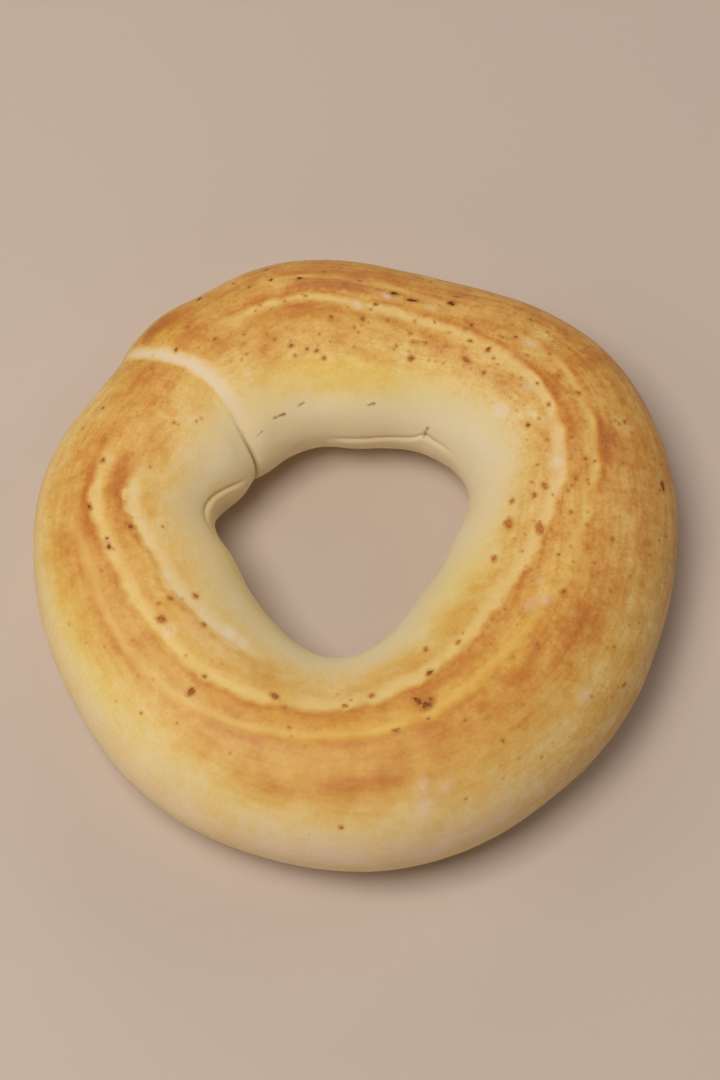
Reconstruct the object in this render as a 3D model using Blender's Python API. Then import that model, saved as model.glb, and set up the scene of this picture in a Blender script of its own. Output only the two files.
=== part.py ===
# Ring-shaped cheese roll: a rope of cheese dough bent round a hole, its two ends
# pressed together at one seam, baked on a flat sheet. Metres, +Z up, flat on z = 0.

import math
import random

import bmesh
import bpy
import numpy
from mathutils import Vector, noise

MM = 0.001

# Driving sizes in millimetres. Angles are in degrees: "turn" goes round the ring
# from +X, counter-clockwise seen from above; "around" goes round the rope's
# section, 0 at the outer side, 90 at the crown, 180 at the hole.
HOLE_RADIUS = 20.5
OUTER_RADIUS = 56.5
CROWN_HEIGHT = 27.0
WIDEST_LEVEL = 12.4
UNDERCUT = 1.28
CROWN_SHARE_OF_WIDTH = 0.4

# Swells and flats of the hole's edge and of the outer edge, each as its turn,
# its spread and how far it pushes the edge away from the middle.
HOLE_EDGE = {
    "far right corner": (29.0, 36.0, 3.3),
    "far flat": (86.0, 16.0, -1.2),
    "seam notch": (143.0, 4.5, 0.2),
    "left pocket": (172.0, 16.0, 4.1),
    "near corner": (266.0, 30.0, 4.4),
    "near right wall": (320.0, 46.0, -3.9),
    "right wall": (358.0, 20.0, -1.7),
}
OUTER_EDGE = {
    "far right shoulder": (35.0, 43.0, 3.2),
    "far flat": (71.0, 25.0, -4.5),
    "shoulder before the seam": (120.0, 9.5, -1.1),
    "seam flat": (147.0, 13.5, -2.7),
    "near left belly": (236.0, 22.0, 2.0),
    "near belly": (279.0, 36.0, 4.6),
    "right swell": (324.0, 14.0, 0.8),
}

# The seam bows a little as it crosses the rope. It is a shallow valley over the
# crown, with a steeper shoulder on one side, and tightens to a crease at the hole.
SEAM_TURN = 136.4
SEAM_BOW = 5.5
SEAM_BOW_MIDDLE = 100.0
SEAM_BOW_SPREAD = 47.0
SEAM_DEPTH_OUTSIDE = 0.3
SEAM_DEPTH = 0.9
SEAM_DEPTH_AT_HOLE = 0.5
SEAM_SHALLOWER_OVER_SIDE = (60.0, 10.0)
SEAM_SHALLOWER_OVER_WALL = (140.0, 175.0)
SEAM_SHOULDERS = (3.4, 1.7)
SEAM_CREASE_DEPTH = 0.6
SEAM_CREASE_WIDTH = 0.6
SEAM_CREASE_OVER_WALL = (105.0, 150.0)

# The skin stretched as the roll rose: one long stretch mark runs right round beside
# the crown, swinging from the far side's outer half to the near side's inner half,
# and shorter ones run beside it. Each has its step from the long one, the middle
# and half length of its run, in degrees, and its depth.
STREAK_MIDDLE = 89.0
STREAK_SWING = 16.0
STREAK_INNERMOST_TURN = 305.0
STREAK_BENDS = {
    "left": (205.0, 48.0, -5.6),
    "left curl": (180.0, 12.0, -3.0),
    "far right": (60.0, 30.0, 3.0),
}
STREAK_STEP_OUT = -18.0
STREAK_STEP_IN = 22.5
STREAKS = {
    "long": (0.0, 324.0, 164.0, 0.42),
    "outer near": (STREAK_STEP_OUT, 256.0, 66.0, 0.30),
    "outer right": (STREAK_STEP_OUT, 12.0, 34.0, 0.30),
    "outer far": (STREAK_STEP_OUT, 87.0, 30.0, 0.25),
    "inner left": (STREAK_STEP_IN, 205.0, 42.0, 0.35),
}
STREAK_FADE = 14.0
STREAK_EDGE = 0.5
STREAK_WIDTH = 2.4

# A fold along the foot of the hole's wall: it runs low on the far side and climbs
# beside the left pocket, with a lip bulging into the hole below it. Each fold has
# the middle and half length of its run, its depth and how far its lip bulges.
FOLD_LINE = 179.0
FOLD_CLIMBS = {
    "far right": (44.0, 18.0, -11.0),
    "nick": (54.5, 4.0, -5.0),
    "left pocket": (178.0, 26.0, -23.0),
}
FOLDS = {
    "far": (70.0, 36.0, 0.5, 0.5),
    "left": (165.0, 20.0, 0.8, 0.6),
}
FOLD_FADE = 16.0
FOLD_WIDTH = 0.8
LIP_RISE = (0.0, 1.5)
LIP_FALL = (12.0, 4.0)

# Slow unevenness of hand-rolled dough.
LUMP_SIZE = 13.0
LUMP_HEIGHT = 0.3

# Near the flat underside all relief fades out.
RELIEF_FADES_BELOW = 3.0

# Mesh: slices round the ring, crowded at the seam, and rows between guide lines
# that run along the streaks and the fold.
SLICES = 126
SEAM_CROWDING = 3.6
SEAM_CROWD_SPREAD = 9.0
SEAM_BOW_REACH = 18.0
SPACING_SAMPLES = 3601
ROWS_BETWEEN_GUIDES = (9, 1, 2, 5, 5)
GUIDE_ROW_STEP = 2.4

# Bits of toasted cheese, fused to the crust. The largest lie at the listed turn
# and around, with their length and width; the smaller ones are scattered.
LARGE_BITS = (
    (288, 94, 4.0, 2.8),
    (6, 35, 3.0, 1.5),
    (79, 69, 2.6, 1.7),
    (75, 70, 3.6, 1.3),
    (66, 64, 2.0, 1.5),
    (354, 104, 3.0, 1.6),
    (0, 110, 2.8, 1.7),
    (293, 108, 2.4, 1.8),
    (213, 114, 2.4, 2.0),
    (232, 79, 2.4, 2.1),
    (250, 103, 2.4, 1.8),
    (191, 78, 2.0, 1.6),
)
LARGE_BIT_TWIST = 0.4
SMALL_BITS = 52
SMALL_BIT_LENGTH = (1.2, 2.0)
SMALL_BIT_SLIMNESS = 0.8
SMALL_BITS_THICKEST = (38.0, 75.0)
SMALL_BITS_ELSEWHERE = 0.22
SMALL_BIT_AROUND = (38.0, 120.0)
BIT_GAP = 3.6
BIT_SIDES = 7
BIT_TOP_SHARE = 0.68
BIT_HEIGHT = 1.2
BIT_PROUD = 0.38
BIT_SEED = 7

CRUST_COLOUR = (0.60, 0.33, 0.09, 1.0)
CRUST_ROUGHNESS = 0.5
SHARP_ANGLE = 35.0

CONTACT_ANGLE = math.degrees(math.asin(1 / UNDERCUT))


def wrap(angle):
    """The same angle between -180 and 180 degrees."""
    return (angle + 180.0) % 360.0 - 180.0


def bell(angle, at, spread):
    """1 at the given angle, falling smoothly to 0 on both sides."""
    return math.exp(-(wrap(angle - at) / spread) ** 2)


def smooth_step(start, end, value):
    """0 before start, 1 past end, and a smooth rise between them."""
    share = min(max((value - start) / (end - start), 0.0), 1.0)
    return share * share * (3.0 - 2.0 * share)


def swells(features, turn):
    """Sum of named swells and flats at this turn."""
    return sum(push * bell(turn, at, spread) for at, spread, push in features.values())


def seam_turn(around):
    """Turn at which the seam crosses this line round the section."""
    return SEAM_TURN + SEAM_BOW * (1.0 - bell(around, SEAM_BOW_MIDDLE, SEAM_BOW_SPREAD))


def streak_line(turn):
    """Where round the section the steep edge of the long stretch mark lies."""
    swing = STREAK_SWING * math.cos(math.radians(turn - STREAK_INNERMOST_TURN))
    return STREAK_MIDDLE + swing + swells(STREAK_BENDS, turn)


def fold_line(turn):
    """Where round the section the fold at the foot of the hole's wall lies."""
    return FOLD_LINE + swells(FOLD_CLIMBS, turn)


def seam_relief(turn, around, radius):
    """Valley between the two rope ends, with a tight crease near the hole."""
    past = radius * math.radians(wrap(turn - seam_turn(around)))
    over_side = smooth_step(*SEAM_SHALLOWER_OVER_SIDE, around)
    over_wall = smooth_step(*SEAM_SHALLOWER_OVER_WALL, around)
    depth = SEAM_DEPTH + (SEAM_DEPTH_OUTSIDE - SEAM_DEPTH) * over_side
    depth += (SEAM_DEPTH_AT_HOLE - SEAM_DEPTH) * over_wall
    shoulder = SEAM_SHOULDERS[0] if past > 0 else SEAM_SHOULDERS[1]
    valley = depth * math.exp(-(past / shoulder) ** 2)
    tight = smooth_step(*SEAM_CREASE_OVER_WALL, around)
    crease = SEAM_CREASE_DEPTH * tight * math.exp(-(past / SEAM_CREASE_WIDTH) ** 2)
    return -valley - crease


def streak_relief(turn, around, half_width):
    """Shallow stretch marks, each with a steep edge on its outer side."""
    relief = 0.0
    for step, middle, half_run, depth in STREAKS.values():
        past = half_width * math.radians(around - streak_line(turn) - step)
        presence = smooth_step(half_run, half_run - STREAK_FADE, abs(wrap(turn - middle)))
        edge = smooth_step(-STREAK_EDGE, STREAK_EDGE, past)
        relief -= depth * presence * edge * math.exp(-(past / STREAK_WIDTH) ** 2)
    return relief


def fold_relief(turn, around, half_width):
    """The fold's groove, and the lip below it."""
    relief = 0.0
    below = half_width * math.radians(around - fold_line(turn))
    for middle, half_run, depth, lip in FOLDS.values():
        presence = smooth_step(half_run, half_run - FOLD_FADE, abs(wrap(turn - middle)))
        groove = depth * math.exp(-(below / FOLD_WIDTH) ** 2)
        bulge = lip * smooth_step(*LIP_RISE, below) * smooth_step(*LIP_FALL, below)
        relief += presence * (bulge - groove)
    return relief


def skin_point(turn, around, proud=0.0):
    """Point of the skin, in millimetres, raised by proud along the section's normal."""
    hole = HOLE_RADIUS + swells(HOLE_EDGE, turn)
    outer = OUTER_RADIUS + swells(OUTER_EDGE, turn)
    half_width = (outer - hole) / 2
    mean_half_width = (OUTER_RADIUS - HOLE_RADIUS) / 2
    crown = CROWN_HEIGHT * (half_width / mean_half_width) ** CROWN_SHARE_OF_WIDTH

    side = math.cos(math.radians(around))
    rise = math.sin(math.radians(around))
    half_height = crown - WIDEST_LEVEL if rise > 0 else UNDERCUT * WIDEST_LEVEL
    radius = (outer + hole) / 2 + half_width * side
    height = WIDEST_LEVEL + half_height * rise

    turned = math.radians(turn)
    lump_at = Vector((math.cos(turned), math.sin(turned), 0)) * radius + Vector((0, 0, height))
    lift = LUMP_HEIGHT * noise.noise(lump_at / LUMP_SIZE)
    lift += seam_relief(turn, around, radius)
    lift += streak_relief(turn, around, half_width)
    lift += fold_relief(turn, around, half_width)
    lift = lift * smooth_step(0.0, RELIEF_FADES_BELOW, height) + proud

    normal = Vector((side / half_width, rise / half_height)).normalized()
    radius += lift * normal.x
    height = max(height + lift * normal.y, 0.0)
    return Vector((radius * math.cos(turned), radius * math.sin(turned), height))


def slice_turns():
    """Turn of each slice: even steps, crowded where the seam is."""
    fine = numpy.linspace(SEAM_TURN - 180.0, SEAM_TURN + 180.0, SPACING_SAMPLES)
    near_seam = numpy.exp(-((fine - SEAM_TURN) / SEAM_CROWD_SPREAD) ** 2)
    crowd = numpy.cumsum(1.0 + SEAM_CROWDING * near_seam)
    even = numpy.linspace(crowd[0], crowd[-1], SLICES + 1)[:-1]
    return [float(turn) for turn in numpy.interp(even, crowd, fine)]


def row_angles(turn):
    """Angles round the section of the mesh rows, from one contact edge to the other."""
    streak = streak_line(turn)
    guides = [streak + STREAK_STEP_OUT, streak, streak + STREAK_STEP_IN, fold_line(turn)]
    angles = [-CONTACT_ANGLE]
    for guide, rows in zip(guides, ROWS_BETWEEN_GUIDES):
        angles += even_steps(angles[-1], guide - GUIDE_ROW_STEP, rows)
        angles += [guide - GUIDE_ROW_STEP, guide, guide + GUIDE_ROW_STEP]
    end = 180.0 + CONTACT_ANGLE
    angles += even_steps(angles[-1], end, ROWS_BETWEEN_GUIDES[-1])
    return angles + [end]


def even_steps(start, end, count):
    """Evenly spaced values between two others, leaving both out."""
    return [start + (end - start) * (k + 1) / (count + 1) for k in range(count)]


def make_rope():
    """Spin a plain loaf section round the hole, then give every point its true place."""
    mesh = bmesh.new()
    row_of = mesh.verts.layers.int.new("row")
    profile = []
    mean_radius = (OUTER_RADIUS + HOLE_RADIUS) / 2
    half_width = (OUTER_RADIUS - HOLE_RADIUS) / 2
    for row, around in enumerate(row_angles(0.0)):
        angle = math.radians(around)
        x = mean_radius + half_width * math.cos(angle)
        z = WIDEST_LEVEL + half_width * math.sin(angle)
        vert = mesh.verts.new((x, 0.0, z))
        vert[row_of] = row
        profile.append(vert)
    edges = [mesh.edges.new(pair) for pair in zip(profile, profile[1:] + profile[:1])]
    bmesh.ops.spin(mesh, geom=profile + edges, cent=(0, 0, 0), axis=(0, 0, 1), dvec=(0, 0, 0),
                   angle=2 * math.pi, steps=SLICES, use_merge=True, use_normal_flip=False,
                   use_duplicate=False)

    turns = slice_turns()
    last_row = len(profile) - 1
    for vert in mesh.verts:
        slice_number = round(math.atan2(vert.co.y, vert.co.x) / (2 * math.pi) * SLICES) % SLICES
        turn = turns[slice_number]
        row = vert[row_of]
        around = row_angles(turn)[row]
        bow = seam_turn(around) - SEAM_TURN
        turn += bow * bell(turn, SEAM_TURN, SEAM_BOW_REACH)
        place = skin_point(turn, around)
        if row in (0, last_row):
            place.z = 0.0
        vert.co = place * MM
    bmesh.ops.recalc_face_normals(mesh, faces=mesh.faces)
    return object_from(mesh, "cheese_roll")


def make_bit(name, turn, around, length, width, heading):
    """A lump of toasted cheese, sunk in the crust at this place."""
    centre = skin_point(turn, around, proud=BIT_PROUD - BIT_HEIGHT / 2)
    along = (skin_point(turn + 1.0, around) - skin_point(turn - 1.0, around)).normalized()
    out = (skin_point(turn, around, proud=1.0) - skin_point(turn, around)).normalized()
    along = math.cos(heading) * along + math.sin(heading) * out.cross(along)
    across = out.cross(along)
    mesh = bmesh.new()
    bmesh.ops.create_cone(mesh, cap_ends=True, segments=BIT_SIDES, radius1=0.5,
                          radius2=0.5 * BIT_TOP_SHARE, depth=BIT_HEIGHT)
    for vert in mesh.verts:
        offset = along * vert.co.x * length + across * vert.co.y * width + out * vert.co.z
        vert.co = (centre + offset) * MM
    return object_from(mesh, name)


def scatter_bits():
    """The largest bits at their places, and smaller ones, thickest on the far right side."""
    draw = random.Random(BIT_SEED)
    bits = [(turn, around, length, width, LARGE_BIT_TWIST * draw.uniform(-1, 1))
            for turn, around, length, width in LARGE_BITS]
    while len(bits) < len(LARGE_BITS) + SMALL_BITS:
        turn = draw.uniform(0.0, 360.0)
        around = draw.uniform(*SMALL_BIT_AROUND)
        length = draw.uniform(*SMALL_BIT_LENGTH)
        spot = skin_point(turn, around)
        taken = draw.random() < SMALL_BITS_ELSEWHERE + bell(turn, *SMALL_BITS_THICKEST)
        if taken and min((spot - skin_point(*bit[:2])).length for bit in bits) > BIT_GAP:
            bits.append((turn, around, length, SMALL_BIT_SLIMNESS * length,
                         draw.uniform(0, math.pi)))
    return bits


def object_from(mesh, name):
    """Turn a bmesh into an object of the scene."""
    data = bpy.data.meshes.new(name)
    mesh.to_mesh(data)
    mesh.free()
    thing = bpy.data.objects.new(name, data)
    bpy.context.scene.collection.objects.link(thing)
    return thing


def fuse(body, pieces):
    """Join the pieces to the body with one Boolean union, and remove them."""
    group = bpy.data.collections.new("bits")
    bpy.context.scene.collection.children.link(group)
    for piece in pieces:
        bpy.context.scene.collection.objects.unlink(piece)
        group.objects.link(piece)
    union = body.modifiers.new("fuse", "BOOLEAN")
    union.operation = "UNION"
    union.operand_type = "COLLECTION"
    union.collection = group
    union.solver = "MANIFOLD"
    bpy.context.view_layer.update()
    evaluated = body.evaluated_get(bpy.context.evaluated_depsgraph_get())
    joined = bpy.data.meshes.new_from_object(evaluated)
    body.modifiers.remove(union)
    body.data = joined
    for piece in pieces:
        bpy.data.objects.remove(piece, do_unlink=True)
    bpy.data.collections.remove(group)


def centre_on_origin(body):
    """Bring the middle of the roll's box, seen from above, to the origin."""
    xs = [vert.co.x for vert in body.data.vertices]
    ys = [vert.co.y for vert in body.data.vertices]
    middle = Vector(((min(xs) + max(xs)) / 2, (min(ys) + max(ys)) / 2, 0.0))
    for vert in body.data.vertices:
        vert.co -= middle


def crust_material():
    """Golden baked crust."""
    material = bpy.data.materials.new("baked_crust")
    material.use_nodes = True
    shader = material.node_tree.nodes["Principled BSDF"]
    shader.inputs["Base Color"].default_value = CRUST_COLOUR
    shader.inputs["Roughness"].default_value = CRUST_ROUGHNESS
    shader.inputs["Metallic"].default_value = 0.0
    return material


def main():
    for thing in list(bpy.data.objects):
        bpy.data.objects.remove(thing, do_unlink=True)
    roll = make_rope()
    bits = [make_bit(f"bit_{k}", *bit) for k, bit in enumerate(scatter_bits())]
    fuse(roll, bits)
    centre_on_origin(roll)
    roll.data.materials.clear()
    roll.data.materials.append(crust_material())
    roll.data.shade_smooth()
    roll.data.set_sharp_from_angle(angle=math.radians(SHARP_ANGLE))


main()
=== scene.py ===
import math

import bpy
from mathutils import Matrix, Vector


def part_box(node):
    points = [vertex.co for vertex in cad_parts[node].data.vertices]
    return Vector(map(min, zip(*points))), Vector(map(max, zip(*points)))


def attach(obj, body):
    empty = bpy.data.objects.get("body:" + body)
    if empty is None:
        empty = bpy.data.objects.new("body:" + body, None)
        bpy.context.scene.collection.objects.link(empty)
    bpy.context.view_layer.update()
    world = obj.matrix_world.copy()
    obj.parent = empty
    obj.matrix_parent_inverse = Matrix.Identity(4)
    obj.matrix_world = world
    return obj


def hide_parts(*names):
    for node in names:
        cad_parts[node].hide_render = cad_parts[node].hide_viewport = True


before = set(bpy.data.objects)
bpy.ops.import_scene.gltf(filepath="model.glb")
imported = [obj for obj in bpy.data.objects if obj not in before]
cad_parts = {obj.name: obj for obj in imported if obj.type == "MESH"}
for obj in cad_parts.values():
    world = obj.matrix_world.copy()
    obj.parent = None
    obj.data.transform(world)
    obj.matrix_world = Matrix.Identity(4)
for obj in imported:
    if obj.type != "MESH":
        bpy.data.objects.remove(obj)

# Looks of a ring-shaped cheese roll. Lengths are in millimetres and angles in degrees
# until a tree's last step. "Turn" goes round the ring from +X, counter-clockwise from
# above; "around" goes round the rope's section: 0 outer side, 90 crown, 180 hole.
metresPerMm = 0.001
degree = math.radians(1.0)
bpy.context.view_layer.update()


def opaque(colour):
    return (*colour, 1.0)


def pick(sockets, key):  # a socket in use, by its number or its name
    used = [socket for socket in sockets if socket.enabled]
    return used[key] if isinstance(key, int) else next(socket for socket in used if socket.name == key)


class Value:  # what comes out of a socket; sums and products of it add nodes to its tree
    def __init__(self, graph, socket):
        self.graph = graph
        self.socket = socket

    def maths(self, operation, *others):
        return self.graph.node("ShaderNodeMath", {"operation": operation}, (self, *others))

    def vector(self, operation, *others):
        return self.graph.node("ShaderNodeVectorMath", {"operation": operation}, (self, *others))

    def scaled(self, factor):  # a vector times a number
        return self.graph.node("ShaderNodeVectorMath", {"operation": "SCALE"},
                               {"Vector": self, "Scale": factor})

    def __add__(self, other):
        return self.maths("ADD", other)

    def __sub__(self, other):
        return self.maths("SUBTRACT", other)

    def __rsub__(self, other):
        return self.graph.node("ShaderNodeMath", {"operation": "SUBTRACT"}, (other, self))

    def __mul__(self, other):
        return self.maths("MULTIPLY", other)

    def __truediv__(self, other):
        return self.maths("DIVIDE", other)

    def __rtruediv__(self, other):
        return self.graph.node("ShaderNodeMath", {"operation": "DIVIDE"}, (other, self))

    def __pow__(self, other):
        return self.maths("POWER", other)

    def __neg__(self):
        return self.maths("MULTIPLY", -1.0)

    __radd__ = __add__
    __rmul__ = __mul__

    def sine(self):  # of an angle in degrees
        return (self * degree).maths("SINE")

    def cosine(self):
        return (self * degree).maths("COSINE")

    def bell(self, spread):  # 1 at zero, falling smoothly on both sides
        return (self * self * (-1.0 / spread ** 2)).maths("EXPONENT")

    def rise(self, start, end):  # 0 before start, 1 past end
        return self.graph.node("ShaderNodeMapRange", {"interpolation_type": "SMOOTHSTEP"}, (self, start, end))

    def between(self, low, high):
        return self.maths("MAXIMUM", low).maths("MINIMUM", high)

    def angleFrom(self, angle):  # difference of two angles, from -180 to 180
        return (self - angle).maths("WRAP", 180.0, -180.0)

    def part(self, name):  # another output of the same node
        return Value(self.graph, pick(self.socket.node.outputs, name))


class Graph:  # a node tree that is being drawn
    def __init__(self, tree):
        self.tree = tree
        tree.nodes.clear()

    def node(self, kind, settings=None, sockets=(), output=0):
        made = self.tree.nodes.new(kind)
        for name, setting in (settings or {}).items():
            if name == "stops":
                self.setStops(made.color_ramp, setting)
            else:
                setattr(made, name, setting)
        for key, given in (sockets.items() if isinstance(sockets, dict) else enumerate(sockets)):
            target = pick(made.inputs, key)
            if isinstance(given, Value):
                self.tree.links.new(given.socket, target)
            else:
                target.default_value = given
        return Value(self, pick(made.outputs, output)) if made.outputs else None

    def setStops(self, ramp, stops):
        while len(ramp.elements) < len(stops):
            ramp.elements.new(1.0)
        for element, (place, colour) in zip(ramp.elements, stops):
            element.position = place
            element.color = opaque(colour)

    def combine(self, x, y, z):
        return self.node("ShaderNodeCombineXYZ", {}, (x, y, z))

    def split(self, vector):  # X first, the others by part()
        return self.node("ShaderNodeSeparateXYZ", {}, (vector,))

    def noise(self, where, size, detail=1.0, roughness=0.5):  # -1 to 1, with lumps of about this size
        field = self.node("ShaderNodeTexNoise", {"noise_dimensions": "3D"},
                          {"Vector": where, "Scale": 1.0 / size, "Detail": detail, "Roughness": roughness})
        return (field - 0.5) * 2.0

    def mixed(self, factor, low, high):  # a colour between two
        low, high = (colour if isinstance(colour, Value) else opaque(colour) for colour in (low, high))
        return self.node("ShaderNodeMix", {"data_type": "RGBA"}, {"Factor": factor, "A": low, "B": high})

    def kept(self, geometry, name, value, kind="FLOAT"):  # stores a value on the points
        return self.node("GeometryNodeStoreNamedAttribute", {"data_type": kind, "domain": "POINT"},
                         {"Geometry": geometry, "Name": name, "Value": value})

    def stored(self, name):  # reads such a number in a geometry tree
        return self.node("GeometryNodeInputNamedAttribute", {"data_type": "FLOAT"}, {"Name": name})

    def painted(self, name, output="Fac"):  # reads it in a material
        return self.node("ShaderNodeAttribute", {"attribute_name": name}, (), output)


def openTree(name, inputs, outputs):
    # an input is given by its start value, or by the name of its kind
    tree = bpy.data.node_groups.new(name, "GeometryNodeTree")
    for label, start in inputs.items():
        kind = start if isinstance(start, str) else {int: "Int", float: "Float"}[type(start)]
        socket = tree.interface.new_socket(label, in_out="INPUT", socket_type=f"NodeSocket{kind}")
        if kind != start:
            socket.default_value = start
    for label, kind in outputs.items():
        tree.interface.new_socket(label, in_out="OUTPUT", socket_type=f"NodeSocket{kind}")
    graph = Graph(tree)
    entry = tree.nodes.new("NodeGroupInput")
    return graph, {label: Value(graph, entry.outputs[label]) for label in inputs}


def closeTree(graph, results):
    leaving = graph.tree.nodes.new("NodeGroupOutput")
    for label, value in results.items():
        graph.tree.links.new(value.socket, leaving.inputs[label])
    return graph.tree


def grow(pieceName, tree, inputs, seedMesh=None):
    # runs a tree on an object, and keeps the result as a plain mesh
    mesh = seedMesh or bpy.data.meshes.new(pieceName)
    grown = bpy.data.objects.new(pieceName, mesh)
    bpy.context.scene.collection.objects.link(grown)
    modifier = grown.modifiers.new("grow", "NODES")
    modifier.node_group = tree
    sockets = {item.name: item.identifier for item in tree.interface.items_tree if item.in_out == "INPUT"}
    for label, given in inputs.items():
        modifier[sockets[label]] = given
    bpy.context.view_layer.update()
    depsgraph = bpy.context.evaluated_depsgraph_get()
    plain = bpy.data.meshes.new_from_object(grown.evaluated_get(depsgraph), preserve_all_data_layers=True,
                                            depsgraph=depsgraph)
    grown.modifiers.remove(modifier)
    grown.data = plain
    plain.name = pieceName
    return grown


# The rule of the skin is the same as the solid's, with finer relief.
ringSizes = {  # the trees' named inputs
    "hole radius": 20.5,
    "outer radius": 56.5,
    "crown height": 27.0,
    "widest level": 12.4,
    "undercut": 1.28,
    "crown share of width": 0.4,
    "seam turn": 136.4,
    "seam depth": 0.9,
    "streak depth": 0.22,
    "fold depth": 0.38,
    "lump height": 0.3,
    "lump size": 13.0,
}
ringForm = {
    # swells and flats of the two edges: turn, spread, push
    "hole edge": ((29, 36, 3.3), (86, 16, -1.2), (143, 4.5, 0.2), (172, 16, 4.1), (266, 30, 4.4),
                  (320, 46, -3.9), (358, 20, -1.7)),
    "outer edge": ((35, 43, 3.2), (71, 25, -4.5), (120, 9.5, -1.1), (147, 13.5, -2.7), (236, 22, 2.0),
                   (279, 36, 4.6), (324, 14, 0.8)),
    # the seam: how far it bows, the bow's middle and spread, and its two shoulders
    "seam bow": (5.5, 100.0, 47.0),
    "seam shoulders": (1.7, 3.4),
    "seam bottom": 0.3,
    # its share of depth outside and at the hole, and where it starts and ends to change
    "seam outside": (0.33, 60.0, 10.0),
    "seam at hole": (0.56, 140.0, 175.0),
    "crease depth": 0.75,
    "crease width": 0.45,
    "crease over wall": (105.0, 150.0),
    # the line of the long stretch mark, its swing with the turn where it is innermost, and its bends
    "streak middle": 89.0,
    "streak swing": (16.0, 305.0),
    "streak bends": ((205, 48, -5.6), (180, 12, -3.0), (60, 30, 3.0)),
    "streak edge": 0.35,
    "streak fade": 14.0,
    "streak thinning": ((98, 30, 0.5), (32, 12, 0.3)),
    # folds in the hole's wall: middle, half length, share of depth, bulge of the lip below
    "folds": ((70, 36, 0.6, 0.3), (165, 20, 0.9, 0.36)),
    "fold line": 179.0,
    "fold climbs": ((44, 18, -11.0), (54.5, 4, -5.0), (178, 26, -23.0)),
    "fold width": 0.5,
    "fold fade": 16.0,
    "lip rise": (0.0, 1.5),
    "lip fall": (12.0, 4.0),
    # fine unevenness: size and height, and how much higher the dimples are on the hole's wall,
    # with where that starts and is full
    "pores": (1.0, 0.012),
    "dimples": (5.0, 0.07),
    "dimples on wall": (0.08, 115.0, 150.0),
    "relief fades below": 3.0,
}
# Stretch marks: step from the long one, width, softness of the edge, browning, own bends, and
# runs with their middle, half length and share of depth.
streaks = {
    "long": {"step": 0.0, "width": 2.5, "soft": 0.9, "level": 0.25,
             "bends": ((268, 20, 3.5), (328, 14, 3.0)),
             "runs": ((324, 164, 1.0),)},
    "outer": {"step": -18.0, "width": 1.6, "soft": 1.0, "level": 0.28,
              "bends": ((264, 20, 4.0), (190, 16, 4.0)),
              "runs": ((256, 78, 0.6), (12, 34, 0.7), (87, 30, 0.55))},
    "inner": {"step": 22.5, "width": 2.9, "soft": 1.0, "level": 0.16,
              "bends": ((235, 20, 2.5), (166, 5, 4.0)),
              "runs": ((205, 42, 1.0),)},
}


def swells(turn, features):
    total = 0.0
    for at, spread, push in features:
        total = turn.angleFrom(at).bell(spread) * push + total
    return total


def runShare(turn, middle, halfRun, fade):
    return turn.angleFrom(middle).maths("ABSOLUTE").rise(halfRun, halfRun - fade)


def seamPast(turn, around, radius, seamTurn):
    # millimetres past the seam's line, which bows as it crosses the rope
    bow, middle, spread = ringForm["seam bow"]
    line = seamTurn + bow * (1.0 - (around - middle).bell(spread))
    return turn.angleFrom(line) * radius * degree


def streakGap(turn, around, halfWidth, streak):
    # millimetres inside the mark's steep outer edge
    swing, innermost = ringForm["streak swing"]
    longLine = (ringForm["streak middle"] + swing * (turn - innermost).cosine()
                + swells(turn, ringForm["streak bends"]))
    line = longLine + streak["step"] + swells(turn, streak["bends"])
    return (around - line) * halfWidth * degree


def streakShare(turn, streak):
    total = 0.0
    for middle, halfRun, share in streak["runs"]:
        total = runShare(turn, middle, halfRun, ringForm["streak fade"]) * share + total
    return total


def foldGap(turn, around, halfWidth):
    line = ringForm["fold line"] + swells(turn, ringForm["fold climbs"])
    return (around - line) * halfWidth * degree


def seamRelief(turn, around, radius, given):
    past = seamPast(turn, around, radius, given["seam turn"])
    before, after = ringForm["seam shoulders"]
    bottom = ringForm["seam bottom"]
    shoulder = before + (after - before) * past.rise(-bottom, bottom)
    outside, *outsideRise = ringForm["seam outside"]
    atHole, *holeRise = ringForm["seam at hole"]
    depth = given["seam depth"] * (1.0 + (outside - 1.0) * around.rise(*outsideRise)
                                   + (atHole - 1.0) * around.rise(*holeRise))
    crease = (around.rise(*ringForm["crease over wall"]) * ringForm["crease depth"]
              * past.bell(ringForm["crease width"]))
    return -(depth * (past / shoulder).bell(1.0)) - crease


def streakRelief(turn, around, halfWidth, given, streak):
    gap = streakGap(turn, around, halfWidth, streak)
    edge = ringForm["streak edge"]
    hollow = gap.rise(-edge, edge) * gap.bell(streak["width"])
    return given["streak depth"] * streakShare(turn, streak) * hollow


def foldRelief(turn, around, halfWidth, given, fold):
    middle, halfRun, share, lip = fold
    below = foldGap(turn, around, halfWidth)
    groove = given["fold depth"] * share * below.bell(ringForm["fold width"])
    bulge = lip * below.rise(*ringForm["lip rise"]) * below.rise(*ringForm["lip fall"])
    return runShare(turn, middle, halfRun, ringForm["fold fade"]) * (bulge - groove)


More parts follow.
